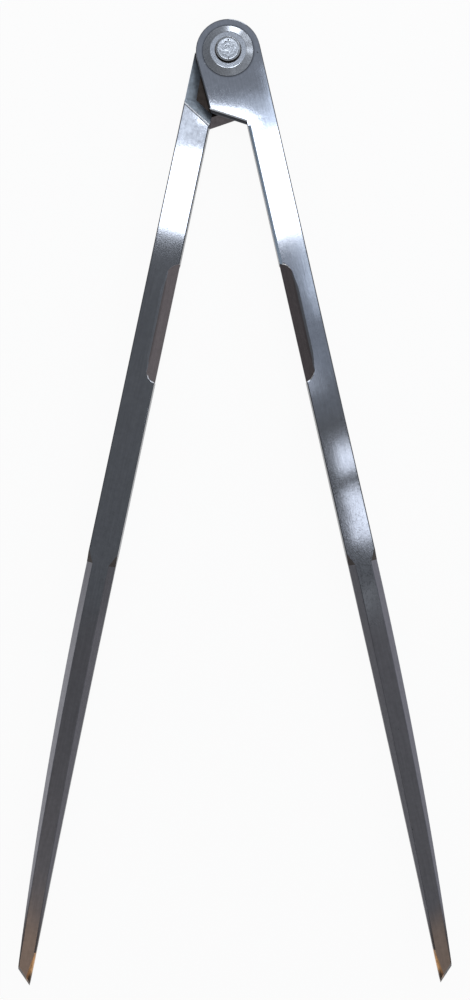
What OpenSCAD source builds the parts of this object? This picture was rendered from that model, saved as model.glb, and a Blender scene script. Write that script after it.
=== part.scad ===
// Layout compass: two steel legs on a riveted lap joint, with brazed carbide points.
// It lies flat. The pivot is the Z axis, the points lie towards -Y, and +Z faces the viewer.
// Both legs are the same piece: the left one is turned over and laid in the other's lap.

/* [Legs] */
// Distance from the pivot's centre to the scribing point
leg_length = 290; // [240:1:400]
// Thickness of a leg
leg_t = 6; // [5:0.1:8]
// Width of the straight part of a leg
bar_w = 8.9; // [7.5:0.1:12]
// Inner edge's distance from the line that joins pivot and point
inner_inset = 0.9; // [0.3:0.1:1.5]
// Width of the broken inner edge, from the end of the lap plate to the finger notch
break_w = 0.8; // [0.3:0.1:0.9]
// Angle between the legs as drawn
opening = 24.9; // [15:0.1:120]

/* [Lap joint] */
// Distance from the head's rim to the foot of the shoulder's ramp
shoulder_gap = 7.1; // [5:0.1:12]
// Run of the ramp, square to its edge
shoulder_run = 3.5; // [2:0.1:5]
// Slant of the shoulder from a square cut across the leg
shoulder_slant = 31; // [15:1:38]
// Lean of a lap plate's inner side, and of the rim that it meets, towards the points
plate_lean = 2; // [0:0.5:4]
// Width of the sloping rim along the outer side of a lap face, beside the pivot
rim_w = 2.7; // [1:0.1:4]
// Rise of that rim over this width
rim_h = 1.65; // [0.5:0.05:2]
// Room between a lap plate and the other leg's ramp and rim, with the legs shut
plate_clear = 0.3; // [0.2:0.1:0.8]
// Room round the other leg's head, as it turns inside the rim
head_clear = 0.2; // [0.1:0.05:0.5]
// Height of the end of a lap plate, outside its undercut
plate_land = 0.7; // [0.5:0.1:1.5]
// Length of the rounding on the end of a lap plate
nose_len = 1.3; // [0.3:0.1:2]
// Running gap between the lap faces
lap_gap = 0.05; // [0.02:0.01:0.1]

/* [Rivet and washers] */
// Diameter of the rivet's shank
rivet_d = 7; // [5:0.1:8]
// Diameter of the rivet's upset ends
rivet_head_d = 7.6; // [7.2:0.1:9]
// Height of an upset end above its washer
rivet_head_h = 1.5; // [1:0.1:2.5]
// Rounding of an upset end's edge
rivet_round = 0.55; // [0.2:0.05:0.8]
// Running clearance round the shank, on the radius
bore_clear = 0.05; // [0.02:0.01:0.1]
// Outside diameter of a washer
washer_d = 15.2; // [13:0.1:18]
// Outside diameter of a washer's flat top ring
washer_ring_d = 11; // [9.5:0.1:12.5]
// Thickness of a washer at its ring
washer_t = 1.2; // [0.8:0.1:2]
// Thickness of a washer at its rim
washer_rim_t = 0.3; // [0.2:0.05:0.6]
// Running gap between the rear washer and the left leg
washer_gap = 0.05; // [0.02:0.01:0.1]

/* [Finger notches] */
// Distance from the pivot to a notch's near end
notch_start = 66; // [40:1:90]
// Length of a notch
notch_len = 37; // [20:1:50]
// Width of a notch on the leg's face
notch_w = 3.1; // [1.5:0.1:4.5]
// Depth of a notch on the leg's inner side
notch_d = 2.6; // [1:0.1:2.7]
// How much larger than the notch's slant the cutter's radius is
notch_over = 0.2; // [0.1:0.1:1.5]

/* [Blades] */
// Length of the chamfered and tapered blade, up to the point
blade_len = 134; // [80:1:180]
// Length over which the chamfers run out at the top of the blade
runout = 4; // [2:0.5:12]
// Width of the long chamfers at the top of the blade
chamfer_w = 2; // [0.5:0.1:2.4]
// Width to which they have narrowed at the end cut
tip_chamfer = 0.3; // [0.2:0.05:0.6]
// Width of the blade where its end is cut to a point
tip_w = 4.4; // [2.5:0.1:6]
// Thickness of the blade there
tip_t = 3; // [2:0.1:4.5]
// Length of the slanted end cut, along the leg
tip_cut = 4.2; // [3:0.1:8]
// Width of the ground facets on either side of the end cut
facet_w = 1; // [0.5:0.1:1.5]
// Land left between the two facets
facet_land = 0.2; // [0.1:0.05:0.5]
// Room that each point leaves to the middle, with the legs shut
tip_clear = 0.05; // [0.02:0.01:0.2]

/* [Carbide points] */
// Length of a carbide strip
carbide_len = 10; // [6:0.5:20]
// Width of a carbide strip
carbide_w = 0.8; // [0.6:0.1:1.6]
// Thickness of the braze between the strip and the leg
braze_t = 0.7; // [0.2:0.05:1]
// Thickness of the braze at the strip's upper end
braze_end = 0.5; // [0.2:0.1:1]

/* [Hidden] */

steel = "#7b848f";
washer_steel = "#979da6";
rivet_steel = "#a5a8ad";
carbide = "#48474a";
brass = "#b07d45";

// Faces on a full round, steps along the blade's curve and on a rounded edge
round_fn = 96;
blade_steps = 16;
edge_steps = 4;
// How far a cut runs past the face that it opens, and a length that clears a whole head
past = 1;
reach = 120;
// How far a lap plate's straight side lies inside the head's round, so that the two cross
side_sink = 0.03;

// The head's rim runs into the outer edge of the bar without a step
head_r = inner_inset + bar_w;
half_t = leg_t / 2;
lap = lap_gap / 2;
bore_r = rivet_d / 2 + bore_clear;

// Heights above the rear end of the rivet
rear_face_z = rivet_head_h + washer_t + washer_gap;
mid_z = rear_face_z + half_t;
front_face_z = mid_z + half_t;
front_ring_z = front_face_z + washer_t;
total_z = front_ring_z + rivet_head_h;

// The ramp and the rim, as distances from the pivot square to their edges
ramp_foot = head_r + shoulder_gap;
ramp_slope = shoulder_run / half_t;
rim_foot = head_r - rim_w;
rim_slope = rim_h / rim_w;
plate_side = head_r - side_sink;
plate_end = ramp_foot + ramp_slope * (half_t - plate_land) - plate_clear;

// The broken edge begins beside the end of the plate and runs out inside the notch
plate_corner = (plate_end + inner_inset * sin(shoulder_slant)) / cos(shoulder_slant);
break_start = plate_corner + plate_clear;
break_end = notch_start + notch_len / 2;

// Stations along the blade
blade_start = leg_length - blade_len;
taper_start = blade_start + runout;
cut_start = leg_length - tip_cut;
cut_angle = atan2(-tip_w, tip_cut);
full_chamfer = min(chamfer_w, half_t - facet_land);

// The seat that holds the carbide strip and its braze
strip_start = leg_length - carbide_len;
strip_side = tip_clear + carbide_w;
seat_start = strip_start - braze_end;
seat_side = strip_side + braze_t;

// How far the blade has tapered: 0 at the start of the taper, 1 at the end cut
function taper(s) = pow(max(0, s - taper_start) / (cut_start - taper_start), 2);

function inner_edge(s) = inner_inset - (inner_inset - tip_clear) * min(1, taper(s));

function outer_edge(s) = head_r - (head_r - tip_clear - tip_w) * taper(s);

function half_thickness(s) = half_t - (half_t - tip_t / 2) * taper(s);

// The square section where the bar ends and the blade begins
function square_ring(s) = [
    [s, inner_inset, -half_t],
    [s, inner_inset, half_t],
    [s, head_r, half_t],
    [s, head_r, -half_t]
];

// The eight-sided section of the blade
function blade_ring(s) =
    let (inner = inner_edge(s), outer = outer_edge(s), top = half_thickness(s))
    let (chamfer = full_chamfer - (full_chamfer - tip_chamfer) * min(1, taper(s)))
    let (side = top - chamfer)
    [
        [s, inner, -side],
        [s, inner, side],
        [s, inner + chamfer, top],
        [s, outer - chamfer, top],
        [s, outer, side],
        [s, outer, -side],
        [s, outer - chamfer, -top],
        [s, inner + chamfer, -top]
    ];

// Points on a quarter round of the given length and depth, from the side to the top
function quarter_round(x, y, length, depth) = [
    for (i = [0 : edge_steps])
        let (turn = 90 * i / edge_steps)
        [x - length * (1 - cos(turn)), y - depth * (1 - sin(turn))]
];

// Lays a profile of distance and height along a line whose normal leans by the given angle
module along_line(normal_angle) {
    rotate([0, 0, normal_angle - 90])
        rotate([90, 0, 90])
            linear_extrude(height = reach, center = true)
                children();
}

// The thin half of the head, undercut where it clears the other leg's rim and ramp
module lap_plate() {
    side_foot = rim_foot - plate_clear;
    translate([0, 0, lap])
        cylinder(r = head_r, h = half_t - lap, $fn = round_fn);
    intersection() {
        translate([0, -reach / 2, 0])
            cube([reach / 2, reach / 2 + inner_inset + past, half_t]);
        along_line(plate_lean - 90)
            polygon([
                [-reach / 2, lap], [side_foot, lap],
                [plate_side, lap + rim_slope * (plate_side - side_foot)],
                [plate_side, half_t], [-reach / 2, half_t]
            ]);
        along_line(-shoulder_slant)
            polygon(concat(
                [[-reach / 2, 0], [ramp_foot - plate_clear, 0], [plate_end, half_t - plate_land]],
                quarter_round(plate_end, half_t, nose_len, plate_land),
                [[-reach / 2, half_t]]
            ));
    }
}

// The straight part of the leg, at full thickness
module bar() {
    translate([0, inner_inset, -half_t])
        cube([blade_start, bar_w, leg_t]);
}

// The chamfered blade that curves in to the point
module blade() {
    stations = [
        for (i = [0 : blade_steps])
            taper_start + (leg_length + past - taper_start) * i / blade_steps
    ];
    points = concat(square_ring(blade_start), [for (s = stations) each blade_ring(s)]);
    last = 4 + 8 * blade_steps;
    start_faces = [
        for (c = [0 : 3])
            each [
                [c, (c + 1) % 4, 4 + 2 * c + 1],
                [c, 4 + 2 * c + 1, 4 + 2 * c],
                [c, 4 + 2 * c, 4 + (2 * c + 7) % 8]
            ]
    ];
    side_faces = [
        for (i = [0 : blade_steps - 1], j = [0 : 7])
            let (a = 4 + 8 * i, k = (j + 1) % 8)
            each [[a + j, a + k, a + 8 + k], [a + j, a + 8 + k, a + 8 + j]]
    ];
    polyhedron(
        points,
        concat([[3, 2, 1, 0]], start_faces, side_faces, [[for (j = [0 : 7]) last + j]])
    );
}

// What is ground away at the end, leaving two facets that meet along the slanted cut
module end_cut() {
    facet_slope = facet_w / (tip_t / 2 - facet_land / 2);
    top = half_t + past;
    back = -facet_slope * (top - facet_land / 2);
    translate([leg_length, tip_clear, 0])
        along_line(cut_angle + 90)
            polygon([
                [0, -facet_land / 2], [0, facet_land / 2],
                [back, top], [reach / 4, top],
                [reach / 4, -top], [back, -top]
            ]);
}

module pointed_blade() {
    difference() {
        blade();
        end_cut();
    }
}

// Everything that is milled away behind the lap plate, up to the ramp and the rim
module lap_cut() {
    deep = half_t + past;
    translate([0, 0, -deep])
        cylinder(r = head_r + head_clear, h = deep + lap, $fn = round_fn);
    intersection() {
        along_line(shoulder_slant)
            polygon([
                [-reach / 2, -deep], [ramp_foot + ramp_slope * deep, -deep],
                [ramp_foot - ramp_slope * half_t, half_t], [-reach / 2, half_t]
            ]);
        along_line(90 - plate_lean)
            polygon([
                [-reach / 2, -deep], [rim_foot + (deep + lap) / rim_slope, -deep],
                [rim_foot, lap], [-reach / 2, lap]
            ]);
    }
}

// A bevel on the inner edge of one face, whose ends the round cutter leaves curved
module finger_notch() {
    cutter_r = norm([notch_w, notch_d]) + notch_over;
    straight = notch_len - 2 * cutter_r;
    translate([notch_start + notch_len / 2, inner_inset, half_t - notch_d])
        rotate([atan2(notch_d, notch_w), 0, 0])
            linear_extrude(height = leg_t) {
                square([straight, 2 * cutter_r], center = true);
                for (end = [-1, 1])
                    translate([end * straight / 2, 0])
                        circle(r = cutter_r, $fn = round_fn);
            }
}

// The inner edge of the plate's face, broken at 45 degrees
module edge_break() {
    translate([break_start, inner_inset, half_t])
        rotate([90, 0, 90])
            linear_extrude(height = break_end - break_start)
                polygon([[-past, -break_w - past], [break_w + past, past], [-past, past]]);
}

// A corner block of the blade's inner edge, from the given start and up to the given side
module inner_corner(start, side) {
    translate([start, -reach / 2, -half_t - past])
        cube([reach / 2, reach / 2 + side, leg_t + 2 * past]);
}

module leg() {
    color(steel)
        difference() {
            union() {
                lap_plate();
                bar();
                pointed_blade();
            }
            lap_cut();
            translate([0, 0, -half_t - past])
                cylinder(r = bore_r, h = leg_t + 2 * past, $fn = round_fn);
            finger_notch();
            mirror([0, 0, 1])
                finger_notch();
            edge_break();
            inner_corner(seat_start, seat_side);
        }
}

module carbide_tip() {
    color(carbide)
        intersection() {
            pointed_blade();
            inner_corner(strip_start, strip_side);
        }
}

module braze() {
    color(brass)
        difference() {
            intersection() {
                pointed_blade();
                inner_corner(seat_start, seat_side);
            }
            inner_corner(strip_start, strip_side);
        }
}

// A washer with a flat ring and a bevelled rim, its flat side down
module washer() {
    color(washer_steel)
        rotate_extrude($fn = round_fn)
            polygon([
                [rivet_d / 2, 0], [washer_d / 2, 0], [washer_d / 2, washer_rim_t],
                [washer_ring_d / 2, washer_t], [rivet_d / 2, washer_t]
            ]);
}

// Where each leg and its point lie
module on_right() {
    translate([0, 0, mid_z])
        rotate([0, 0, opening / 2 - 90])
            children();
}

module on_left() {
    translate([0, 0, mid_z])
        rotate([0, 0, -opening / 2 - 90])
            rotate([180, 0, 0])
                children();
}

module right_leg() {
    on_right() leg();
}

module left_leg() {
    on_left() leg();
}

module right_carbide_tip() {
    on_right() carbide_tip();
}

module left_carbide_tip() {
    on_left() carbide_tip();
}

module right_braze() {
    on_right() braze();
}

module left_braze() {
    on_left() braze();
}

// The shank fills both bores, and its upset ends hold the washers on
module pivot_rivet() {
    end_profile = quarter_round(rivet_head_d / 2, rivet_head_h, rivet_round, rivet_round);
    color(rivet_steel)
        rotate_extrude($fn = round_fn)
            polygon(concat(
                [[0, 0]],
                [for (i = [len(end_profile) - 1 : -1 : 0])
                    [end_profile[i][0], rivet_head_h - end_profile[i][1]]],
                [[rivet_head_d / 2, rivet_head_h], [rivet_d / 2, rivet_head_h]],
                [[rivet_d / 2, front_ring_z], [rivet_head_d / 2, front_ring_z]],
                [for (p = end_profile) [p[0], front_ring_z + p[1]]],
                [[0, total_z]]
            ));
}

module front_washer() {
    translate([0, 0, front_face_z])
        washer();
}

module rear_washer() {
    translate([0, 0, rear_face_z - washer_gap])
        mirror([0, 0, 1])
            washer();
}

right_leg();
left_leg();
pivot_rivet();
front_washer();
rear_washer();
right_carbide_tip();
left_carbide_tip();
right_braze();
left_braze();
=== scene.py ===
# %% [markdown]
# # A layout compass in ground steel
# This lesson dresses a finished CAD model. The compass lies flat, its pivot on the Z axis, its
# points towards -Y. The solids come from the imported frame, in metres, and they are never moved.
# What Blender adds is what an eye would miss on bare solids: broken edges, turned and hammered
# surfaces, and steel that shows how each face was made.

# %% Load the frame
from math import cos, pi, radians, sin

import bmesh
import bpy
from mathutils import Matrix, Vector


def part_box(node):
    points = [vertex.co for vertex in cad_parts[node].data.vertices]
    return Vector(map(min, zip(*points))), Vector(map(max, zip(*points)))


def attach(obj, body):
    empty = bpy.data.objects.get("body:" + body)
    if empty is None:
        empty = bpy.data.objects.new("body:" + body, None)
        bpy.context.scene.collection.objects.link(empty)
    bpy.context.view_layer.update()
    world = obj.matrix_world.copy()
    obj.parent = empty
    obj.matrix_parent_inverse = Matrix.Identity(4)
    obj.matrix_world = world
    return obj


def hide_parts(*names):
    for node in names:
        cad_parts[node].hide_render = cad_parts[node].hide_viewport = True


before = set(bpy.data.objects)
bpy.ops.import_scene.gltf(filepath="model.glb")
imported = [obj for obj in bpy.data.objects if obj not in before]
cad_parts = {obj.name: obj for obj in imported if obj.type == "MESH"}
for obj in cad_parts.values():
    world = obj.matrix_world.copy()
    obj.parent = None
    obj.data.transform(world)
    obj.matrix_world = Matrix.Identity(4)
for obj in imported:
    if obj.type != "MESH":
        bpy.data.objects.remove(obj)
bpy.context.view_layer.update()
scene = bpy.context.scene
scene.view_settings.view_transform = "Standard"
print("nodes:", sorted(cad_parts))

# %% [markdown]
# ## Two small helpers
# Node trees are long to write by hand, so one function adds a node, sets its options and joins its
# inputs. Colours are written as sRGB hex, as a colour picker shows them, and Blender calculates in
# linear light, so one function converts them.

# %% Helpers for nodes and colours
MM = 0.001


def add(tree, kind, inputs=None, **options):
    """Adds a node; inputs maps a socket's name or number to a value or to another node's output."""
    node = tree.nodes.new(kind)
    for name, value in options.items():
        setattr(node, name, value)
    for name, value in (inputs or {}).items():
        if isinstance(value, bpy.types.NodeSocket):
            tree.links.new(value, node.inputs[name])
        else:
            node.inputs[name].default_value = value
    return node


def linear(colour):
    """The linear RGBA of an sRGB hex colour."""
    parts = [int(colour[i:i + 2], 16) / 255 for i in (1, 3, 5)]
    return [p / 12.92 if p <= 0.04045 else ((p + 0.055) / 1.055) ** 2.4 for p in parts] + [1.0]


print("mid grey in linear light:", [round(x, 3) for x in linear("#808080")])

# %% [markdown]
# ## The camera
# The photograph was taken from straight above, so the camera looks down -Z. Its place comes from
# the two points and the pivot: where they lie in the picture fixes the height, the middle and a
# turn of under half a degree. A longer lens from further off would hide the inner sides of the legs.

# %% Camera above the legs
CAMERA_PLACE = (1.08, -135.82, 433)
CAMERA_TURN = -0.425
CAMERA_LENS = 50.5
EYE_LEVEL = CAMERA_PLACE[2]

camera = bpy.data.objects.new("camera", bpy.data.cameras.new("camera"))
scene.collection.objects.link(camera)
camera.location = [x * MM for x in CAMERA_PLACE]
camera.rotation_euler = (0, 0, radians(CAMERA_TURN))
camera.data.lens = CAMERA_LENS
camera.data.clip_start = 0.01
scene.camera = camera
print("camera is", EYE_LEVEL, "mm up, with a lens of", CAMERA_LENS, "mm")

# %% [markdown]
# ## A pale floor and a soft studio
# The compass lies on a white sheet. The sheet shows nearly white to the camera and in the metal,
# and a small share of plain diffuse white keeps the shadow. The room round it is pale at the
# horizon and dim above: steel is a mirror, so a dim ceiling is what makes flat faces look dark and
# lets the softboxes draw their bright bands. The room is lighter on the right, where a window is.

# %% Floor and room
FLOOR_SIZE = 8.0
FLOOR_GAP_MM = 0.1
SHADOW_SHARE = 0.06
WALL_TOP = (0.09, 0.14)
RIGHT_SIDE_GAIN = 0.45

sheet = bpy.data.materials.new("white paper sheet")
sheet.use_nodes = True
tree = sheet.node_tree
tree.nodes.clear()
path = add(tree, "ShaderNodeLightPath")
mirrored = add(tree, "ShaderNodeMath", {
    0: path.outputs["Is Glossy Ray"], 1: path.outputs["Is Transmission Ray"]}, operation="MAXIMUM")
seen = add(tree, "ShaderNodeMath", {
    0: path.outputs["Is Camera Ray"], 1: mirrored.outputs[0]}, operation="MAXIMUM")
share = add(tree, "ShaderNodeMath", {0: seen.outputs[0], 1: 1 - SHADOW_SHARE}, operation="MULTIPLY")
paper = add(tree, "ShaderNodeBsdfDiffuse", {"Color": linear("#fdfdfd")})
white = add(tree, "ShaderNodeEmission", {"Color": (1, 1, 1, 1), "Strength": 1.0})
mixed = add(tree, "ShaderNodeMixShader", {
    0: share.outputs[0], 1: paper.outputs[0], 2: white.outputs[0]})
add(tree, "ShaderNodeOutputMaterial", {"Surface": mixed.outputs[0]})

mesh = bpy.data.meshes.new("floor")
half = FLOOR_SIZE / 2
corners = [(-half, -half, 0), (half, -half, 0), (half, half, 0), (-half, half, 0)]
mesh.from_pydata(corners, [], [(0, 1, 2, 3)])
mesh.transform(Matrix.Translation((0, 0, -FLOOR_GAP_MM * MM)))
mesh.materials.append(sheet)
floor = bpy.data.objects.new("floor", mesh)
scene.collection.objects.link(floor)

room = bpy.data.worlds.new("studio room")
room.use_nodes = True
scene.world = room
tree = room.node_tree
tree.nodes.clear()
way = add(tree, "ShaderNodeSeparateXYZ", {0: add(tree, "ShaderNodeTexCoord").outputs["Generated"]})
walls = add(tree, "ShaderNodeValToRGB", {0: way.outputs["Z"]})
ramp = walls.color_ramp
ramp.elements[0].position = WALL_TOP[0]
ramp.elements[0].color = linear("#fcfcfc")
ramp.elements[1].position = WALL_TOP[1]
ramp.elements[1].color = linear("#bdbfc4")
for place, colour in ((0.30, "#b6b9bf"), (0.50, "#a9acb1"), (0.70, "#a3a5a9"), (0.92, "#969799")):
    ramp.elements.new(place).color = linear(colour)
gain = add(tree, "ShaderNodeMapRange", {
    "Value": way.outputs["Z"], "From Min": WALL_TOP[0], "From Max": WALL_TOP[1],
    "To Max": RIGHT_SIDE_GAIN})
level = add(tree, "ShaderNodeMath", {
    0: gain.outputs[0], 1: way.outputs["X"], 2: 1.0}, operation="MULTIPLY_ADD")
sky = add(tree, "ShaderNodeBackground", {"Color": walls.outputs[0], "Strength": level.outputs[0]})
add(tree, "ShaderNodeOutputWorld", {"Surface": sky.outputs[0]})
print("floor", FLOOR_SIZE, "m wide, room of", len(ramp.elements), "greys")

# %% [markdown]
# ## Where a leg lies
# Both legs are the same piece, one of them turned over. Every lamp, pattern and edge is easier to
# describe on one leg laid straight, so one matrix takes a point of the frame to millimetres along
# the leg from the pivot, across it towards its outer side, and up from the lap. The heights are read
# from the frame, so they follow the solids.

# %% From the frame to a leg
HALF_OPENING = 12.45
SIDES = {"right_leg": 1, "left_leg": -1}


def heights(node):
    """How high the lower and the upper end of a node are, in mm."""
    return [round(corner.z / MM, 3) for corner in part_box(node)]


leg_bottom, leg_top = heights("right_leg")
HALF_T = (leg_top - leg_bottom) / 2
MID_Z = (leg_top + leg_bottom) / 2


def to_leg(side):
    """Frame metres to leg millimetres: side is 1 for the right leg, -1 for the left one."""
    turn = Matrix.Rotation(radians(side * HALF_OPENING - 90), 4, "Z")
    flip = Matrix.Rotation(radians(90 - 90 * side), 4, "X")
    lies = Matrix.Translation((0, 0, MID_Z * MM)) @ turn @ flip
    return Matrix.Scale(1 / MM, 4) @ lies.inverted()


print("leg thickness in mm:", 2 * HALF_T, "round a middle at", MID_Z)

# %% [markdown]
# ## Softboxes
# A flat mirror shows the camera what hangs above it, at twice the distance from the point under the
# camera. So a softbox at the camera's height, twice as long and wide as a stretch of a leg, lights
# that stretch and nothing else. An area lamp gives off a quarter of its watts per square metre as
# radiance, so the function takes the brightness that the steel should mirror and works out the watts.
# Of two lamps in the very same plane a mirror shows only one, so a small lamp in front of a larger one
# hangs a little lower. The head plate brightens towards the leg: nine lamps that each begin a little
# further down, one over another, give it that fall of light.

# %% Softboxes over the legs
ACROSS = (-4, 14)
PLATE_ACROSS = (-7.5, 14)
PLATE_END = 26
LAMP_STEP = 0.3
PLATE_LIGHTS = ((13.0, 0.15), (14.2, 0.25), (15.6, 0.3), (17.0, 0.3), (18.5, 0.3), (20.0, 0.35),
                (21.3, 0.4), (22.5, 0.5), (23.7, 0.8))


def softbox(name, place, width, length, radiance, colour="#ffffff", turn=0.0, aim=None):
    """A lamp at place, in mm, that looks down, turned by so many degrees, or looks at aim."""
    data = bpy.data.lights.new(name, "AREA")
    data.shape = "RECTANGLE"
    data.size, data.size_y = width * MM, length * MM
    data.energy = 4 * data.size * data.size_y * radiance
    data.color = linear(colour)[:3]
    lamp = bpy.data.objects.new(name, data)
    scene.collection.objects.link(lamp)
    lamp.location = Vector(place) * MM
    lamp.rotation_euler = (0, 0, radians(turn))
    if aim is not None:
        lamp.rotation_euler = (Vector(aim) * MM - lamp.location).to_track_quat("-Z", "Y").to_euler()
    lamp.visible_camera = False
    print(name, "gives", round(data.energy, 2), "W")


def over_leg(name, side, along, radiance, colour="#ffffff", across=ACROSS, lower=0):
    """A softbox that a stretch of a leg mirrors to the camera, hung so many mm lower than it."""
    on_leg = Vector((sum(along) / 2, sum(across) / 2, side * HALF_T))
    hangs = 2 * (to_leg(side).inverted() @ on_leg) - camera.location
    hangs.z = camera.location.z - lower * MM
    softbox(name, hangs / MM, 2 * (across[1] - across[0]), 2 * (along[1] - along[0]), radiance, colour,
            turn=side * HALF_OPENING)


over_leg("window, left leg", -1, (31, 57), 6.0, "#f6f9ff")
over_leg("window, right leg", 1, (25, 60), 6.0, "#f6f9ff")
over_leg("pale panel, left shoulder", -1, (17.5, 31), 1.9, "#f2f7ff", across=(5.5, 14))
over_leg("pale panel, inner left shoulder", -1, (22, 31), 1.6, "#f2f7ff", across=(-1, 5.5))
for step, (start, radiance) in enumerate(PLATE_LIGHTS, 1):
    over_leg(f"plate light {step}", 1, (start, PLATE_END), radiance, "#e6f0ff", across=PLATE_ACROSS,
             lower=LAMP_STEP * step)
over_leg("edge light, plate", 1, (7, 22), 0.9, "#e6f0ff", across=(8.3, 14), lower=3.2)
over_leg("side light, right leg", 1, (58, 77), 2.0, "#e6f0ff", across=(7.2, 14))
over_leg("long side light, right leg", 1, (58, 84), 1.5, "#e6f0ff", across=(7.9, 14))
over_leg("dim panel, right leg", 1, (58, 102), 0.33, "#dbe8ff")
over_leg("long dim panel, right leg", 1, (58, 114), 0.12, "#dbe8ff")
over_leg("glint under the notch", 1, (97, 105.5), 1.15, "#eef4ff", across=(-4, 3.2), lower=2)
over_leg("patch one", 1, (123.5, 131), 3.1, "#f4f7ff", across=(4.3, 14))
over_leg("patch two", 1, (138.5, 154), 3.1, "#f4f7ff", across=(5.2, 14))
over_leg("dim panel, right blade", 1, (168, 262), 0.22)
over_leg("warm panel, left point", -1, (258, 300), 1.1, "#fff0e4", across=(-12, 22))
over_leg("warm panel, right point", 1, (262, 300), 0.25, "#fff0e4", across=(-12, 22))
softbox("window over the nose", (-5.9, 94.6, EYE_LEVEL), 29, 16, 6.0, "#f6f9ff", turn=-9.7)
softbox("slanted window beside the nose", (14, 84.8, EYE_LEVEL), 29.6, 20, 6.0, "#f6f9ff", turn=-36)
softbox("dim panel over the head", (0, 158, EYE_LEVEL), 340, 108, 0.38, "#dfe8f8")
softbox("far window", (112, 524, 279), 210, 140, 3.2, "#f6f9ff", aim=(0, 0, 8))
softbox("right window", (415, 180, 404), 90, 90, 2.2, "#f6f9ff", aim=(0, 0, 8))
softbox("low window, edge of the ramp", (312, 324, 179), 150, 90, 3.5, "#f6f9ff", aim=(-9, -20, 8))

# %% [markdown]
# ## Ground steel
# The legs are tool steel, ground along their length and polished by hand at the head. Polished steel is
# smooth enough to show the softboxes as bands, with a slight waviness that bends their edges, and a fine
# grain that breaks them up. On the blades the polish stops and the steel is duller and darker, and the
# last centimetres are browned by the heat of brazing. Use has left small dark pits and light nicks, and
# a ring of painted shade darkens the steel round the washer's edge. The grain is drawn about 0.4 mm
# wide, coarser than real grinding marks, so that it shows in the picture.

# %% Leg steel
GRAIN_MM, GRAIN_HEIGHT = 0.4, 0.0014
BRUSH_MM, BRUSH_HEIGHT = 0.5, 0.001
WAVE_MM, WAVE_HEIGHT, WAVE_GROWS = 16, (0.02, 0.08), (22.0, 44.0)
BLOTCH_MM = 1.2
MOTTLE, MOTTLE_FADES, MOTTLE_LEFT = {1: 0.07, -1: 0.2}, (32.0, 46.0), 0.06
BUFF_FADES = (24.0, 60.0)
POLISH_ENDS, POLISH_WANDERS = (174.0, 204.0), 30.0
HEAT_FROM, HEAT_FULL = {1: 276.0, -1: 268.0}, 300.0
HOT_STEEL = "#a08e82"
RUST, RUST_GROWS = {1: 0.35, -1: 0.1}, (118.0, 150.0)
# Painted shade round the washer's edge: darkest at the first radius in mm, gone at the second, and the
# factor the colour falls to
WASHER_SHADE_RING, WASHER_SHADE_LEVEL = (7.5, 8.3), 0.35
# Pits and nicks are spots: the size of a cell and a radius in mm, and the share of cells with one
PITS, PIT_DEPTH, PIT_SHADE = (6.0, 0.2, 0.4), 0.03, 0.5
NICKS, NICK_SHINE = (8.0, 0.22, 0.45), 0.5


def spots(tree, where, cell_mm, radius_mm, share):
    """Round spots, one in each chosen cell: 1 inside a spot, 0 outside."""
    cells = add(tree, "ShaderNodeTexVoronoi", {"Vector": where, "Scale": 1 / cell_mm})
    size = radius_mm / cell_mm
    near = add(tree, "ShaderNodeMapRange", {
        "Value": cells.outputs["Distance"], "From Min": 1.3 * size, "From Max": 0.7 * size})
    drawn = add(tree, "ShaderNodeSeparateColor", {0: cells.outputs["Color"]})
    some = add(tree, "ShaderNodeMath", {0: drawn.outputs[0], 1: share}, operation="LESS_THAN")
    kept = add(tree, "ShaderNodeMath", {0: near.outputs[0], 1: some.outputs[0]}, operation="MULTIPLY")
    return kept.outputs[0]


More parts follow.
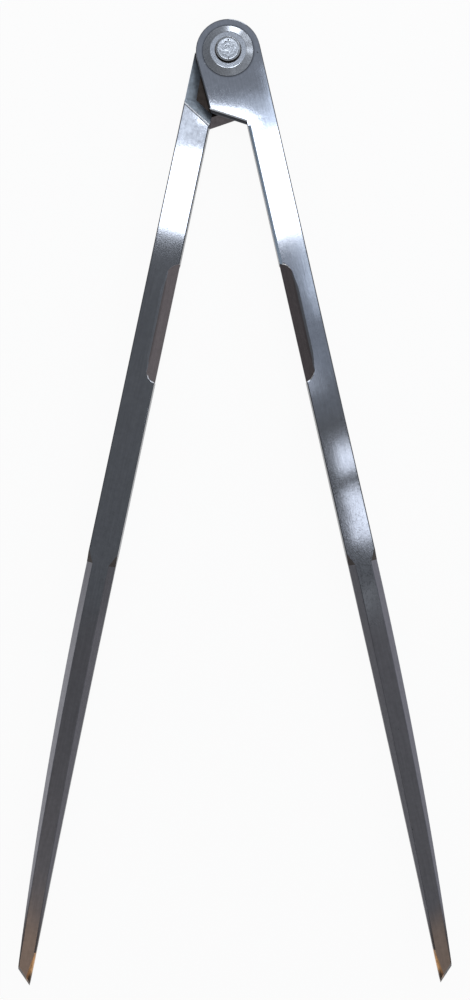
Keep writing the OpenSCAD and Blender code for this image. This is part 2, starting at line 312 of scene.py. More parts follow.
def leg_steel(name, side, colours, roughness, wear):
    """A steel with colours for bar, blade and heated point, and a roughness for head, bar and blade."""
    upper, lower, hot = colours
    buffed, polish, dull = roughness
    steel = bpy.data.materials.new(name)
    steel.use_nodes = True
    tree = steel.node_tree
    shader = tree.nodes["Principled BSDF"]
    spot, turn, size = to_leg(side).decompose()
    where = add(tree, "ShaderNodeMapping", {
        "Vector": add(tree, "ShaderNodeTexCoord").outputs["Object"],
        "Location": spot, "Rotation": turn.to_euler(), "Scale": size}).outputs[0]
    leg = add(tree, "ShaderNodeSeparateXYZ", {0: where})

    # Patterns, each with its size in millimetres
    grain = add(tree, "ShaderNodeTexNoise", {"Vector": where, "Scale": 1 / GRAIN_MM, "Detail": 2.0})
    wave = add(tree, "ShaderNodeTexNoise", {"Vector": where, "Scale": 1 / WAVE_MM, "Detail": 0.5})
    drawn = add(tree, "ShaderNodeMapping", {"Vector": where, "Scale": (0.05, 1.0, 1.0)})
    brush = add(tree, "ShaderNodeTexNoise", {
        "Vector": drawn.outputs[0], "Scale": 1 / BRUSH_MM, "Detail": 3.0})
    blotch = add(tree, "ShaderNodeTexNoise", {"Vector": where, "Scale": 1 / BLOTCH_MM, "Detail": 3.0})
    pits = spots(tree, where, *PITS)
    nicks = spots(tree, where, *NICKS)

    # The polish ends at the blade, and the heat of brazing browns the last stretch
    wobble = add(tree, "ShaderNodeMath", {
        0: wave.outputs[0], 1: POLISH_WANDERS, 2: leg.outputs["X"]}, operation="MULTIPLY_ADD")
    fall = add(tree, "ShaderNodeMapRange", {
        "Value": wobble.outputs[0], "From Min": POLISH_ENDS[0], "From Max": POLISH_ENDS[1]},
        interpolation_type="SMOOTHSTEP")
    heat = add(tree, "ShaderNodeMapRange", {
        "Value": wobble.outputs[0], "From Min": HEAT_FROM[side], "From Max": HEAT_FULL},
        interpolation_type="SMOOTHSTEP")
    base = add(tree, "ShaderNodeMix", {
        0: fall.outputs[0], 6: linear(upper), 7: linear(lower)}, data_type="RGBA")
    browned = add(tree, "ShaderNodeMix", {
        0: heat.outputs[0], 6: base.outputs[2], 7: linear(hot)}, data_type="RGBA")
    worn = add(tree, "ShaderNodeMath", {0: nicks, 1: NICK_SHINE * wear}, operation="MULTIPLY")
    nicked = add(tree, "ShaderNodeMix", {
        0: worn.outputs[0], 6: browned.outputs[2], 7: linear("#f0f2f4")}, data_type="RGBA")
    radius = add(tree, "ShaderNodeVectorMath", {
        0: add(tree, "ShaderNodeCombineXYZ", {0: leg.outputs["X"], 1: leg.outputs["Y"]}).outputs[0]},
        operation="LENGTH")
    # Painted shade: the colour darkens towards the washer's edge
    washer_shade = add(tree, "ShaderNodeMapRange", {
        "Value": radius.outputs["Value"], "From Min": WASHER_SHADE_RING[0], "From Max": WASHER_SHADE_RING[1],
        "To Min": WASHER_SHADE_LEVEL, "To Max": 1.0}, interpolation_type="SMOOTHSTEP")
    tone = add(tree, "ShaderNodeMapRange", {
        "Value": brush.outputs[0], "From Min": 0.3, "From Max": 0.7, "To Min": 0.93, "To Max": 1.06})
    rusty = add(tree, "ShaderNodeMapRange", {
        "Value": leg.outputs["X"], "From Min": RUST_GROWS[0], "From Max": RUST_GROWS[1],
        "To Max": RUST[side] * wear})
    kept = add(tree, "ShaderNodeMath", {0: 1.0, 1: fall.outputs[0]}, operation="SUBTRACT")
    zone = add(tree, "ShaderNodeMath", {0: rusty.outputs[0], 1: kept.outputs[0]}, operation="MULTIPLY")
    specks = add(tree, "ShaderNodeMapRange", {
        "Value": grain.outputs[0], "From Min": 0.46, "From Max": 0.36})
    spotted = add(tree, "ShaderNodeMath", {
        0: specks.outputs[0], 1: zone.outputs[0]}, operation="MULTIPLY")
    mottle = add(tree, "ShaderNodeMapRange", {
        "Value": leg.outputs["X"], "From Min": MOTTLE_FADES[0], "From Max": MOTTLE_FADES[1],
        "To Min": MOTTLE[side], "To Max": MOTTLE_LEFT})
    uneasy = add(tree, "ShaderNodeMapRange", {
        "Value": blotch.outputs[0], "From Min": 0.3, "From Max": 0.7, "To Min": -1.0, "To Max": 1.0})
    stained = add(tree, "ShaderNodeMath", {
        0: mottle.outputs[0], 1: uneasy.outputs[0], 2: 1.0}, operation="MULTIPLY_ADD")
    marked = add(tree, "ShaderNodeMath", {
        0: tone.outputs[0], 1: stained.outputs[0]}, operation="MULTIPLY")
    clean = add(tree, "ShaderNodeMath", {0: marked.outputs[0], 1: washer_shade.outputs[0]}, operation="MULTIPLY")
    rusted = add(tree, "ShaderNodeMath", {
        0: clean.outputs[0], 1: spotted.outputs[0]}, operation="SUBTRACT")
    dark = add(tree, "ShaderNodeMath", {
        0: pits, 1: -PIT_SHADE * wear, 2: rusted.outputs[0]}, operation="MULTIPLY_ADD")
    shade = add(tree, "ShaderNodeVectorMath", {
        0: nicked.outputs[2], 1: dark.outputs[0]}, operation="MULTIPLY")
    tree.links.new(shade.outputs[0], shader.inputs["Base Color"])
    shader.inputs["Metallic"].default_value = 1.0

    # Duller where the polish stops, and uneven with the grain
    gloss = add(tree, "ShaderNodeMapRange", {
        "Value": leg.outputs["X"], "From Min": BUFF_FADES[0], "From Max": BUFF_FADES[1],
        "To Min": buffed, "To Max": polish})
    rough = add(tree, "ShaderNodeMix", {
        0: fall.outputs[0], 2: gloss.outputs[0], 3: dull}, data_type="FLOAT")
    grained = add(tree, "ShaderNodeMapRange", {
        "Value": grain.outputs[0], "To Min": -0.015, "To Max": 0.015})
    uneven = add(tree, "ShaderNodeMath", {
        0: grained.outputs[0], 1: rough.outputs[0]}, operation="ADD")
    tree.links.new(uneven.outputs[0], shader.inputs["Roughness"])

    # Heights in millimetres, for the bump
    calm = add(tree, "ShaderNodeMapRange", {
        "Value": leg.outputs["X"], "From Min": WAVE_GROWS[0], "From Max": WAVE_GROWS[1],
        "To Min": WAVE_HEIGHT[0], "To Max": WAVE_HEIGHT[1]})
    low = add(tree, "ShaderNodeMath", {0: wave.outputs[0], 1: calm.outputs[0]}, operation="MULTIPLY")
    mid = add(tree, "ShaderNodeMath", {
        0: grain.outputs[0], 1: GRAIN_HEIGHT, 2: low.outputs[0]}, operation="MULTIPLY_ADD")
    fine = add(tree, "ShaderNodeMath", {
        0: brush.outputs[0], 1: BRUSH_HEIGHT, 2: mid.outputs[0]}, operation="MULTIPLY_ADD")
    holes = add(tree, "ShaderNodeMath", {
        0: pits, 1: -PIT_DEPTH * wear, 2: fine.outputs[0]}, operation="MULTIPLY_ADD")
    bump = add(tree, "ShaderNodeBump", {"Distance": MM, "Height": holes.outputs[0]})
    tree.links.new(bump.outputs[0], shader.inputs["Normal"])
    return steel


# %% [markdown]
# Each leg carries ten finishes of that steel. The faces are polished, best at the head. The nose of the
# lap plate, the ends of the notches and the ramp's edge take a painted highlight, the brightest copy of
# the steel. The broken inner edge carries a painted bluish reflection, and the unpolished sides are
# painted dark as painted shade. The notches and undercuts were milled and have browned, the lap is
# painted nearly black as painted shade under the plate, its ramp and rim are plain milled steel, and the
# end facets are dark. The long chamfers were ground by hand, so they differ in tone from edge to edge
# and from leg to leg.

# %% Ten finishes for each leg
FINISHES = {
    # a mirror at the head, clear bands along the bar, a dull sheen on the blade
    "polished face": (("#84888f", "#76767b", HOT_STEEL), (0.045, 0.08, 0.34), 1.0),
    # unpolished walls, painted dark as painted shade, which set off the bright faces
    "shade-painted unpolished side": (("#55575c", "#565559", "#3c3734"), (0.28, 0.28, 0.34), 0.3),
    # painted reflection: a soft bluish line along the inner edge
    "broken edge": (("#9fb0c2",) * 3, (0.28,) * 3, 0.3),
    # painted highlight: the brightest steel, for thin white lines on the plate's nose, the notches' ends
    # and the ramp's edge
    "painted highlight": (("#f2f6fb",) * 3, (0.14,) * 3, 0.2),
    # brown and even, as under a thin film of rust
    "milled hollow": (("#716a6a",) * 3, (0.22,) * 3, 0.4),
    # painted shade: nearly black, with hardly a reflection, for the lap under the plate
    "shade-painted lap": (("#332e2b",) * 3, (0.36,) * 3, 0.0),
    # pale and matt, with the tool's marks too fine to see
    "milled ramp": (("#aeb9c3",) * 3, (0.55,) * 3, 0.3),
    # dark brown, on the end facets at the point and where the chamfers run out
    "end facet": (("#433f3e",) * 3, (0.36,) * 3, 0.3),
}
CHAMFERS = {
    "right_leg": {"inner": ("#6c6c71", "#6c6c71"), "outer": ("#72727a", "#72727a")},
    "left_leg": {"inner": ("#5c5b5f", "#68676c"), "outer": ("#78787e", "#8e8e94")},
}
HOT_CHAMFER, CHAMFER_ROUGH = "#4a4442", 0.34
FACE, SIDE, BROKEN, PAINTED_HIGHLIGHT, HOLLOW, LAP, RAMP, FACET, INNER, OUTER = range(len(FINISHES) + 2)
LEG_STEEL = {}
for node, side in SIDES.items():
    table = dict(FINISHES)
    for edge, colours in CHAMFERS[node].items():
        table[f"{edge} chamfer"] = ((*colours, HOT_CHAMFER), (CHAMFER_ROUGH,) * 3, 0.3)
    LEG_STEEL[node] = [leg_steel(f"{finish} steel, {node.replace('_', ' ')}", side, *values)
                       for finish, values in table.items()]
print("leg finishes:", [m.name for m in LEG_STEEL["right_leg"]])

# %% [markdown]
# ## Legs with broken edges
# No ground tool keeps a knife edge where a hand goes: the edges are broken with a stone, and the
# finger notch runs into the face in a soft round. The CAD solids have sharp edges, so each leg is
# a merged copy of its solid with a Bevel modifier. Bevel reads a weight from each edge, which lets
# the notch's long edge be rounder than the rest: that edge is first cut into short pieces, so that
# its rounding can fade out where the notch's end begins. The edges inside the lap stay sharp, and so
# does the inner edge above the notch, which the solid already has as a flat broken edge.
#
# A solid's flat top can arrive in several pieces, with thin slivers along their seams. A bevel would
# take such a seam for an edge, so each flat level of the leg is first rebuilt as one clean face.
# Only the narrow strips of round walls are shaded smooth. Flat faces stay flat, so that they mirror
# like flat steel, and a bevel has six steps, too fine to see.

# %% Which edge is broken by how much
UNDER_WASHER = 8.0
HEAD_END = 16.0
LAP_END = 32.0
ON_FACE = HALF_T - 0.02
INNER_EDGE = 0.9
NOTCH_SPAN = (65.5, 103.5)
NOTCH_SIDE = 4.0
NOTCH_LINE = (69.0, 100.0)
NOTCH_CUTS = 30
NOTCH_FADE = 6.0
BROKEN_SPAN = (21.0, 67.0)
BROKEN_SIDE = 1.8
BLADE_START = 156.0
RUNOUT_END = 160.0
SEAT_START = 276.0
CUT_START = 284.0
LAP_LEVEL = 0.025
NOSE_SLANT = radians(31)
NOSE_START = 17.9
NOSE_TURNS_DOWN = 0.98
NOTCH_SOFT = 0.8
NOTCH_END_SOFT = 0.5
EDGE_SOFT = 0.34
BLADE_SOFT = 0.16
RAMP_SOFT = 0.4
WORTH_BREAKING = radians(18)
SHARP = radians(28)
NARROW = 0.8
BEVEL_MARK = SIDE


def softness(edge, place):
    """How far this edge of a leg is broken, in mm."""
    if len(edge.link_faces) != 2 or edge.calc_face_angle(0) < WORTH_BREAKING:
        return 0
    a, b = (place @ v.co for v in edge.verts)
    middle, along = (a + b) / 2, (b - a).normalized()
    if middle.xy.length < UNDER_WASHER or middle.x > SEAT_START:
        return 0
    if middle.x > BLADE_START:
        return BLADE_SOFT if abs(along.x) > 0.9 else 0
    if min(abs(a.z), abs(b.z)) < ON_FACE:
        return 0
    if middle.z > 0 and BROKEN_SPAN[0] < middle.x < BROKEN_SPAN[1] and middle.y < BROKEN_SIDE:
        return 0
    if middle.z < 0 and middle.x < LAP_END and abs(along.x) < 0.9:
        return RAMP_SOFT
    if NOTCH_SPAN[0] < middle.x < NOTCH_SPAN[1] and INNER_EDGE + 0.05 < middle.y < NOTCH_SIDE + 0.1:
        if abs(along.x) < 0.99:
            return min(NOTCH_END_SOFT, 0.4 * (NOTCH_SIDE - middle.y))
        from_end = min(middle.x - NOTCH_LINE[0], NOTCH_LINE[1] - middle.x)
        return NOTCH_SOFT * max(0.1, min(1, from_end / NOTCH_FADE))
    return EDGE_SOFT


def finish_of(middle, normal):
    """Which of the ten finishes a face has, from its middle and its normal on the leg."""
    up = abs(normal.z)
    if middle.x > CUT_START and normal.x > 0.3:
        return FACET
    if middle.x > BLADE_START:
        if up < 0.97 and middle.x < RUNOUT_END:
            return FACET
        if up < 0.3:
            return SIDE
        return FACE if up > 0.97 else OUTER if normal.y > 0 else INNER
    if NOTCH_SPAN[0] < middle.x < NOTCH_SPAN[1] and middle.y < NOTCH_SIDE + 0.6 and 0.1 < up < 0.97:
        upper_end = middle.x < NOTCH_LINE[0] and normal.x > 0.1 and middle.z > 0
        lower_end = middle.x > NOTCH_LINE[1] and normal.x < -0.1
        # Painted highlight on the bevels at the notches' ends
        if (upper_end or lower_end) and abs(middle.z) > HALF_T - NOTCH_END_SOFT:
            return PAINTED_HIGHLIGHT
        return FACE if abs(middle.z) > HALF_T - 0.12 else HOLLOW
    # The broken inner edge takes a painted bluish reflection
    if BROKEN_SPAN[0] < middle.x < BROKEN_SPAN[1] and middle.y < BROKEN_SIDE and 0.6 < normal.z < 0.8:
        return BROKEN
    beyond = middle.x * cos(NOSE_SLANT) - middle.y * sin(NOSE_SLANT)
    # The nose's upper rounding takes the painted highlight, its lower part the side steel
    if middle.y < INNER_EDGE and beyond > NOSE_START and 0.05 < normal.z < 0.999:
        return PAINTED_HIGHLIGHT if normal.z > NOSE_TURNS_DOWN else SIDE
    if middle.x < LAP_END and abs(middle.z) < HALF_T - 0.3:
        undercut = normal.z < -0.05 and middle.z > LAP_LEVEL + 0.1
        # The lap face takes the nearly black steel, as painted shade under the plate
        return HOLLOW if undercut else LAP if up > 0.95 else RAMP if up > 0.2 else SIDE
    # Painted highlight on the bevel at the ramp's edge
    if middle.x < LAP_END and middle.z < 0 and normal.x < -0.2 and up < 0.97:
        return PAINTED_HIGHLIGHT
    # Walls and edge breaks take the unpolished steel, painted dark as painted shade
    return SIDE if up < 0.97 and middle.x > HEAD_END else FACE


def notch_line(edge, place):
    """Whether this is the long edge where a notch meets the leg's face."""
    a, b = (place @ v.co for v in edge.verts)
    middle = (a + b) / 2
    on_face = min(abs(a.z), abs(b.z)) > ON_FACE and abs(middle.y - NOTCH_SIDE) < 0.05
    return on_face and abs(a.x - b.x) > (NOTCH_LINE[1] - NOTCH_LINE[0]) / 2


# %% Breaking the edges
def one_face(bm, place, level):
    """Rebuilds what lies at one level of a leg from its outline."""
    flat = [f for f in bm.faces if all(abs((place @ v.co).z - level) < 0.002 for v in f.verts)]
    bmesh.ops.delete(bm, geom=flat, context="FACES")
    outline = [e for e in bm.edges if len(e.link_faces) == 1]
    bmesh.ops.triangle_fill(bm, use_beauty=True, edges=outline)


def broken_leg(node, side):
    """A copy of a leg's solid with its edges broken, as a plain mesh."""
    place = to_leg(side)
    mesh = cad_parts[node].data.copy()
    bm = bmesh.new()
    bm.from_mesh(mesh)
    bmesh.ops.remove_doubles(bm, verts=bm.verts, dist=0.004 * MM)
    for level in (-HALF_T, LAP_LEVEL, HALF_T):
        one_face(bm, place, level)
    bmesh.ops.recalc_face_normals(bm, faces=bm.faces)
    print(node, "has", sum(len(e.link_faces) != 2 for e in bm.edges), "open edges")
    bmesh.ops.dissolve_limit(bm, angle_limit=radians(0.15), verts=bm.verts, edges=bm.edges)
    lines = [e for e in bm.edges if notch_line(e, place)]
    bmesh.ops.subdivide_edges(bm, edges=lines, cuts=NOTCH_CUTS)
    print(len(lines), "notch edges cut into short pieces")
    weight = bm.edges.layers.float.new("bevel_weight_edge")
    for edge in bm.edges:
        soft = softness(edge, place)
        edge[weight] = soft / NOTCH_SOFT
        edge.smooth = edge.calc_face_angle(0) < SHARP
    bm.to_mesh(mesh)
    bm.free()
    mesh.materials.clear()
    for steel in LEG_STEEL[node]:
        mesh.materials.append(steel)
    leg = bpy.data.objects.new(node + "_ground", mesh)
    scene.collection.objects.link(leg)
    bevel = leg.modifiers.new("broken edges", "BEVEL")
    bevel.limit_method = "WEIGHT"
    bevel.width = NOTCH_SOFT * MM
    bevel.segments = 6
    bevel.use_clamp_overlap = False
    bevel.material = BEVEL_MARK
    baked = bpy.data.meshes.new_from_object(leg.evaluated_get(bpy.context.evaluated_depsgraph_get()))
    leg.modifiers.clear()
    leg.data = baked
    turn = place.to_3x3()
    for face in baked.polygons:
        normal = (turn @ face.normal).normalized()
        corners = [baked.vertices[i].co for i in face.vertices]
        longest = max((a - b).length for a, b in zip(corners, corners[1:] + corners[:1]))
        level = abs(normal.z) > 0.999 or face.material_index == BEVEL_MARK
        face.use_smooth = not level and face.area < NARROW * MM * longest
        face.material_index = finish_of(place @ face.center, normal)
    return leg


for node, side in SIDES.items():
    leg = broken_leg(node, side)
    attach(leg, "right_side" if side > 0 else "left_side")
    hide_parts(node)
    print(leg.name, "has", len(leg.data.polygons), "faces")

# %% [markdown]
# ## Turned washers and a hammered rivet
# The washers are turned on a lathe: one profile carried round an axis. The rivet is round too, and
# its ends were hammered over, which leaves shallow dents. A Screw modifier could turn a profile,
# but it couldn't dent the ends, so one Geometry Nodes tree does both: it bends a grid round the
# axis, reads each row's radius and height from the profile curve, and sinks the flat ends by noise.

# %% A lathe made of nodes
TURNS = 128


def lathe_tree():
    """Carries a profile curve of radius and height round Z, and dents flat ends."""
    tree = bpy.data.node_groups.new("lathe", "GeometryNodeTree")
    face = tree.interface
    face.new_socket("Profile", in_out="INPUT", socket_type="NodeSocketGeometry")
    for name, kind in (("Faces round", "Int"), ("Rows", "Int"), ("Dent depth", "Float"),
                       ("Dent size", "Float"), ("Dented radius", "Float"), ("Seed", "Float"),
                       ("Material", "Material")):
        face.new_socket(name, in_out="INPUT", socket_type=f"NodeSocket{kind}")
    face.new_socket("Turned", in_out="OUTPUT", socket_type="NodeSocketGeometry")
    given = add(tree, "NodeGroupInput").outputs
    columns = add(tree, "ShaderNodeMath", {0: given["Faces round"], 1: 1.0}, operation="ADD")
    grid = add(tree, "GeometryNodeMeshGrid", {
        "Size X": 1.0, "Size Y": 1.0, "Vertices X": columns.outputs[0], "Vertices Y": given["Rows"]})
    at = add(tree, "ShaderNodeSeparateXYZ", {0: add(tree, "GeometryNodeInputPosition").outputs[0]})
    turn = add(tree, "ShaderNodeMath", {0: at.outputs["X"], 1: 2 * pi}, operation="MULTIPLY")
    row = add(tree, "ShaderNodeMath", {0: at.outputs["Y"], 1: 0.5}, operation="ADD")
    reads = add(tree, "GeometryNodeSampleCurve", {
        "Curves": given["Profile"], "Factor": row.outputs[0]}, mode="FACTOR", use_all_curves=True)
    cut = add(tree, "ShaderNodeSeparateXYZ", {0: reads.outputs["Position"]})
    runs = add(tree, "ShaderNodeSeparateXYZ", {0: reads.outputs["Tangent"]})
    c = add(tree, "ShaderNodeMath", {0: turn.outputs[0]}, operation="COSINE")
    s = add(tree, "ShaderNodeMath", {0: turn.outputs[0]}, operation="SINE")
    x = add(tree, "ShaderNodeMath", {0: c.outputs[0], 1: cut.outputs["X"]}, operation="MULTIPLY")
    y = add(tree, "ShaderNodeMath", {0: s.outputs[0], 1: cut.outputs["X"]}, operation="MULTIPLY")
    flat = add(tree, "ShaderNodeCombineXYZ", {0: x.outputs[0], 1: y.outputs[0], 2: cut.outputs["Z"]})

    # A dent sinks a flat end: the profile runs outwards along the bottom and inwards along the top
    fine = add(tree, "ShaderNodeMath", {0: 1.0, 1: given["Dent size"]}, operation="DIVIDE")
    noise = add(tree, "ShaderNodeTexNoise", {
        "Vector": flat.outputs[0], "W": given["Seed"], "Scale": fine.outputs[0], "Detail": 1.0},
        noise_dimensions="4D")
    inside = add(tree, "ShaderNodeMapRange", {
        "Value": cut.outputs["X"], "From Min": given["Dented radius"], "From Max": 0.0},
        interpolation_type="SMOOTHSTEP")
    soft = add(tree, "ShaderNodeMath", {
        0: inside.outputs[0], 1: 4.0}, operation="MULTIPLY", use_clamp=True)
    deep = add(tree, "ShaderNodeMath", {
        0: noise.outputs[0], 1: given["Dent depth"]}, operation="MULTIPLY")
    held = add(tree, "ShaderNodeMath", {0: deep.outputs[0], 1: soft.outputs[0]}, operation="MULTIPLY")
    sunk = add(tree, "ShaderNodeMath", {0: held.outputs[0], 1: runs.outputs["X"]}, operation="MULTIPLY")
    z = add(tree, "ShaderNodeMath", {0: sunk.outputs[0], 1: cut.outputs["Z"]}, operation="ADD")
    place = add(tree, "ShaderNodeCombineXYZ", {0: x.outputs[0], 1: y.outputs[0], 2: z.outputs[0]})

    bent = add(tree, "GeometryNodeSetPosition", {
        "Geometry": grid.outputs["Mesh"], "Position": place.outputs[0]})
    closed = add(tree, "GeometryNodeMergeByDistance", {
        "Geometry": bent.outputs[0], "Distance": 0.0005 * MM})
    smooth = add(tree, "GeometryNodeSetShadeSmooth", {"Geometry": closed.outputs[0]})
    real = add(tree, "GeometryNodeRealizeInstances", {"Geometry": smooth.outputs[0]})
    paint = add(tree, "GeometryNodeSetMaterial", {
        "Geometry": real.outputs[0], "Material": given["Material"]})
    add(tree, "NodeGroupOutput", {"Turned": paint.outputs[0]})
    return tree


LATHE = lathe_tree()


def rounded(corners, closed):
    """A line of radius and height in mm, its corners rounded by the third number of each."""
    line, count = [], len(corners)
    for i, (r, z, soft) in enumerate(corners):
        here = Vector((r, z))
        if not soft or (not closed and i in (0, count - 1)):
            line.append(here)
            continue
        before = here + (Vector(corners[i - 1][:2]) - here).normalized() * soft
        after = here + (Vector(corners[(i + 1) % count][:2]) - here).normalized() * soft
        for k in range(7):
            t = k / 6
            line.append(before * (1 - t) ** 2 + here * 2 * t * (1 - t) + after * t * t)
    return line


def turned(name, corners, closed, rows, material, depth=0.0, size=1.0, radius=1.0, seed=1.0):
    """A turned piece as a plain mesh, from a profile in mm."""
    line = rounded(corners, closed)
    curve = bpy.data.curves.new(name + "_profile", "CURVE")
    curve.dimensions = "3D"
    spline = curve.splines.new("POLY")
    spline.points.add(len(line) - 1)
    for point, (r, z) in zip(spline.points, line):
        point.co = (r * MM, 0, z * MM, 1)
    spline.use_cyclic_u = closed
    profile = bpy.data.objects.new(name + "_profile", curve)
    scene.collection.objects.link(profile)
    lathe = profile.modifiers.new("lathe", "NODES")
    lathe.node_group = LATHE
    values = {"Faces round": TURNS, "Rows": rows, "Dent depth": depth * MM, "Dent size": size * MM,
              "Dented radius": radius * MM, "Seed": seed, "Material": material}
    for item in LATHE.interface.items_tree:
        if item.in_out == "INPUT" and item.name in values:
            lathe[item.identifier] = values[item.name]
    seen = profile.evaluated_get(bpy.context.evaluated_depsgraph_get())
    mesh = bpy.data.meshes.new_from_object(seen)
    bpy.data.objects.remove(profile)
    bm = bmesh.new()
    bm.from_mesh(mesh)
    bmesh.ops.recalc_face_normals(bm, faces=bm.faces)
    bm.to_mesh(mesh)
    bm.free()
    piece = bpy.data.objects.new(name, mesh)
    scene.collection.objects.link(piece)
    print(name, "has", len(mesh.polygons), "faces")
    return piece


# %% [markdown]
# ## Turned and hammered steel
# The washers were turned, so fine rings run round them, and a painted shade darkens them where they meet
# the rivet. The rivet's ends are bright from the hammer, with small black pits, and painted shade
# darkens the rim of each hammered head. Both materials read the distance from the pivot, which every
# ring follows.

# %% Washer and rivet steel
RING_MM = 0.35
WASHER_RING = 5.5
BEVEL_DULLER = 0.15
GRAINS_PER_MM, FINE_HEIGHT = 2.2, 0.0008
PITS_PER_MM, HAMMER_PIT_DEPTH = 1.1, 0.05


def round_steel(name, colour, rough, ring_height, pit_share, shade_ring):
    """Steel with turned rings and pits, and a ring of painted shade given by the last two radii in mm:
    where it begins and where it is darkest.
    """
    steel = bpy.data.materials.new(name)
    steel.use_nodes = True
    tree = steel.node_tree
    shader = tree.nodes["Principled BSDF"]
    where = add(tree, "ShaderNodeMapping", {
        "Vector": add(tree, "ShaderNodeTexCoord").outputs["Object"], "Scale": (1 / MM,) * 3})
    part = add(tree, "ShaderNodeSeparateXYZ", {0: where.outputs[0]})
    level = add(tree, "ShaderNodeCombineXYZ", {0: part.outputs[0], 1: part.outputs[1]})
    radius = add(tree, "ShaderNodeVectorMath", {0: level.outputs[0]}, operation="LENGTH")
    turn = add(tree, "ShaderNodeMath", {
        0: radius.outputs["Value"], 1: 2 * pi / RING_MM}, operation="MULTIPLY")
    rings = add(tree, "ShaderNodeMath", {0: turn.outputs[0]}, operation="SINE")
    grain = add(tree, "ShaderNodeTexNoise", {
        "Vector": where.outputs[0], "Scale": GRAINS_PER_MM, "Detail": 3.0})
    cells = add(tree, "ShaderNodeTexVoronoi", {"Vector": where.outputs[0], "Scale": PITS_PER_MM})
    spot = add(tree, "ShaderNodeMapRange", {
        "Value": cells.outputs["Distance"], "From Min": 0.26, "From Max": 0.16})
    chosen = add(tree, "ShaderNodeSeparateColor", {0: cells.outputs["Color"]})
    some = add(tree, "ShaderNodeMath", {
        0: chosen.outputs[0], 1: pit_share}, operation="LESS_THAN")
    pits = add(tree, "ShaderNodeMath", {0: spot.outputs[0], 1: some.outputs[0]}, operation="MULTIPLY")
    tone = add(tree, "ShaderNodeMapRange", {
        "Value": grain.outputs[0], "From Min": 0.3, "From Max": 0.7, "To Min": 0.82, "To Max": 1.12})
    clean = add(tree, "ShaderNodeVectorMath", {
        0: linear(colour)[:3], 1: tone.outputs[0]}, operation="MULTIPLY")
    # Painted shade: darker across the given radii, towards where this part meets the next; the black
    # pits are the steel's own
    near = add(tree, "ShaderNodeMapRange", {
        "Value": radius.outputs["Value"], "From Min": shade_ring[0], "From Max": shade_ring[1]},
        interpolation_type="SMOOTHSTEP")
    black = add(tree, "ShaderNodeMath", {0: near.outputs[0], 1: pits.outputs[0]}, operation="MAXIMUM")
    base = add(tree, "ShaderNodeMix", {
        0: black.outputs[0], 6: clean.outputs[0], 7: linear("#3b322d")}, data_type="RGBA")
    tree.links.new(base.outputs[2], shader.inputs["Base Color"])
    shader.inputs["Metallic"].default_value = 1.0
    coarse = add(tree, "ShaderNodeMapRange", {
        "Value": radius.outputs["Value"], "From Min": WASHER_RING - 0.1, "From Max": WASHER_RING + 0.1,
        "To Min": rough, "To Max": rough + BEVEL_DULLER})
    uneven = add(tree, "ShaderNodeMath", {
        0: grain.outputs[0], 1: 0.06, 2: coarse.outputs[0]}, operation="MULTIPLY_ADD")
    tree.links.new(uneven.outputs[0], shader.inputs["Roughness"])
    low = add(tree, "ShaderNodeMath", {0: grain.outputs[0], 1: FINE_HEIGHT}, operation="MULTIPLY")
    cut = add(tree, "ShaderNodeMath", {
        0: rings.outputs[0], 1: ring_height, 2: low.outputs[0]}, operation="MULTIPLY_ADD")
    holes = add(tree, "ShaderNodeMath", {
        0: pits.outputs[0], 1: -HAMMER_PIT_DEPTH, 2: cut.outputs[0]}, operation="MULTIPLY_ADD")
    bump = add(tree, "ShaderNodeBump", {"Distance": MM, "Height": holes.outputs[0]})
    tree.links.new(bump.outputs[0], shader.inputs["Normal"])
    return steel


# The last pair places the painted shade: on the washers round the rivet, on the rivet at the rim of its
# heads
WASHER_STEEL = round_steel("turned washer steel", "#b2b7be", 0.07, 0.0005, 0.0, (4.2, 3.9))
RIVET_STEEL = round_steel("hammered rivet steel", "#a6abb1", 0.20, 0.0, 0.35, (3.62, 3.78))
print("round materials:", WASHER_STEEL.name, "and", RIVET_STEEL.name)

# %% Washers and rivet
RIVET_R, UPSET_R, UPSET_ROUND = 3.5, 3.8, 0.7
WASHER_R, WASHER_RIM = 7.6, 0.3
rear_ring, rear_face = heights("rear_washer")
front_face, front_ring = heights("front_washer")
rivet_foot, rivet_top = heights("pivot_rivet")
washer_h = front_ring - front_face

WASHER = (
    (RIVET_R, 0, 0.08), (WASHER_R, 0, 0.05), (WASHER_R, WASHER_RIM, 0.1),
    (WASHER_RING, washer_h, 0.14), (RIVET_R, washer_h, 0.08),
)
RIVET = (
    (0, rivet_foot, 0), (UPSET_R, rivet_foot, UPSET_ROUND), (UPSET_R, rear_ring, 0.05),
    (RIVET_R, rear_ring, 0.05), (RIVET_R, front_ring, 0.05), (UPSET_R, front_ring, 0.05),
    (UPSET_R, rivet_top, UPSET_ROUND), (0, rivet_top, 0),
)
in_front = [(r, front_face + z, soft) for r, z, soft in WASHER]
behind = [(r, rear_face - z, soft) for r, z, soft in WASHER]
front = turned("front_washer_turned", in_front, True, 160, WASHER_STEEL)
rear = turned("rear_washer_turned", behind, True, 160, WASHER_STEEL)
rivet = turned("pivot_rivet_hammered", RIVET, False, 220, RIVET_STEEL,
               depth=0.06, size=0.8, radius=3.3, seed=4.0)
for piece, node, slot in ((front, "front_washer", "washer_steel"), (rear, "rear_washer", "washer_steel"),
                          (rivet, "pivot_rivet", "rivet_steel")):
    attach(piece, "right_side")
    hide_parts(node)

# %% [markdown]
# ## Brazed points
# Each point is a strip of tungsten carbide, set into the leg with brass braze. Both were ground flush
# with the leg, so the CAD solids are already the right shape and only need their finish. The torch
# left the brass mottled, from brown at its upper end to orange, and smeared it over the strip. The
# orange is a narrow streak that widens towards the point, and beside it the brass has the brown of the
# heated steel. Only the ground end facets show the dark carbide itself.

# %% Carbide and braze
STREAK_FROM = {1: 278.0, -1: 277.5}
STREAK_WIDENS = 0.14


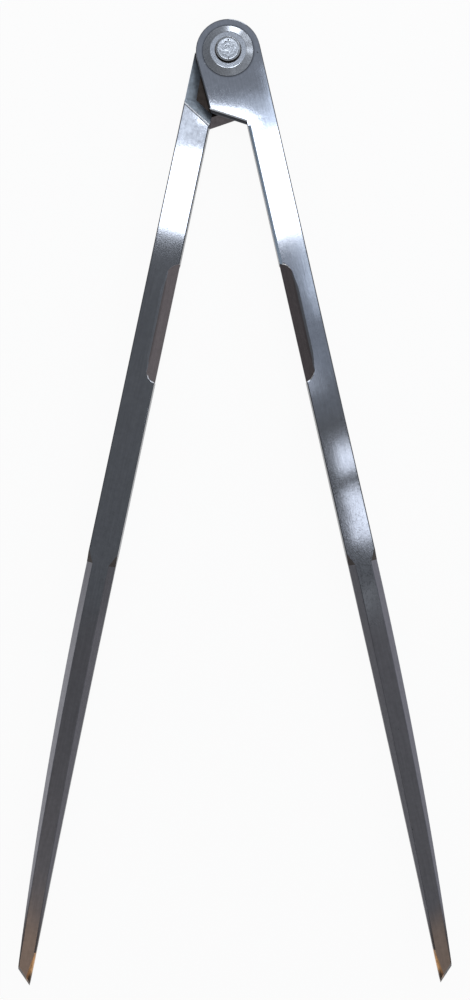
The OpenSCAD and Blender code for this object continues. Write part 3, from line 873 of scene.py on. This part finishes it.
def point_finish(name, side, colours, dark, rough, size_mm):
    """A mottled metal: colours are pairs of a distance along the leg in mm and a colour."""
    metal = bpy.data.materials.new(name)
    metal.use_nodes = True
    tree = metal.node_tree
    shader = tree.nodes["Principled BSDF"]
    spot, turn, size = to_leg(side).decompose()
    where = add(tree, "ShaderNodeMapping", {
        "Vector": add(tree, "ShaderNodeTexCoord").outputs["Object"],
        "Location": spot, "Rotation": turn.to_euler(), "Scale": size}).outputs[0]
    leg = add(tree, "ShaderNodeSeparateXYZ", {0: where})
    patches = add(tree, "ShaderNodeTexNoise", {"Vector": where, "Scale": 1 / size_mm, "Detail": 3.0})
    wobble = add(tree, "ShaderNodeMath", {
        0: patches.outputs[0], 1: 2.0, 2: leg.outputs["X"]}, operation="MULTIPLY_ADD")
    first, last = colours[0][0], colours[-1][0]
    along = add(tree, "ShaderNodeMapRange", {
        "Value": wobble.outputs[0], "From Min": first, "From Max": last})
    tint = add(tree, "ShaderNodeValToRGB", {0: along.outputs[0]})
    ramp = tint.color_ramp
    ramp.elements[0].color = linear(colours[0][1])
    ramp.elements[1].color = linear(colours[-1][1])
    for place, colour in colours[1:-1]:
        ramp.elements.new((place - first) / (last - first)).color = linear(colour)
    share = add(tree, "ShaderNodeMapRange", {
        "Value": patches.outputs[0], "From Min": 0.45, "From Max": 0.75, "To Max": 0.7})
    base = add(tree, "ShaderNodeMix", {
        0: share.outputs[0], 6: tint.outputs[0], 7: linear(dark)}, data_type="RGBA")
    streak = add(tree, "ShaderNodeMath", {
        0: wobble.outputs[0], 1: -STREAK_WIDENS, 2: leg.outputs["Y"]}, operation="MULTIPLY_ADD")
    limit = -STREAK_WIDENS * STREAK_FROM[side]
    beside = add(tree, "ShaderNodeMapRange", {
        "Value": streak.outputs[0], "From Min": limit - 0.15, "From Max": limit + 0.25},
        interpolation_type="SMOOTHSTEP")
    tinted = add(tree, "ShaderNodeMix", {
        0: beside.outputs[0], 6: base.outputs[2], 7: linear(HOT_STEEL)}, data_type="RGBA")
    tree.links.new(tinted.outputs[2], shader.inputs["Base Color"])
    shader.inputs["Metallic"].default_value = 1.0
    uneven = add(tree, "ShaderNodeMath", {
        0: patches.outputs[0], 1: 0.2, 2: rough - 0.1}, operation="MULTIPLY_ADD")
    tree.links.new(uneven.outputs[0], shader.inputs["Roughness"])
    bump = add(tree, "ShaderNodeBump", {"Distance": 0.02 * MM, "Height": patches.outputs[0]})
    tree.links.new(bump.outputs[0], shader.inputs["Normal"])
    return metal


BRASS = ((277, "#98867a"), (280, "#bd9067"), (284, "#e6b482"), (287.5, "#a67e5c"), (290, "#5a4a3e"))
SMEARED = ((279, "#98867a"), (282, "#c99a6c"), (285.5, "#e0ae7c"), (288, "#5a4c42"), (290, "#3d3530"))
for side_name, side in (("right", 1), ("left", -1)):
    braze = point_finish(f"torch brazed brass, {side_name}", side, BRASS, "#7c644f", 0.36, 1.2)
    carbide = point_finish(f"ground tungsten carbide, {side_name}", side, SMEARED, "#5d5047", 0.38, 1.0)
    for kind, metal in (("carbide_tip", carbide), ("braze", braze)):
        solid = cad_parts[f"{side_name}_{kind}"]
        solid.data.materials.clear()
        solid.data.materials.append(metal)
        print(solid.name, "is finished in", metal.name)
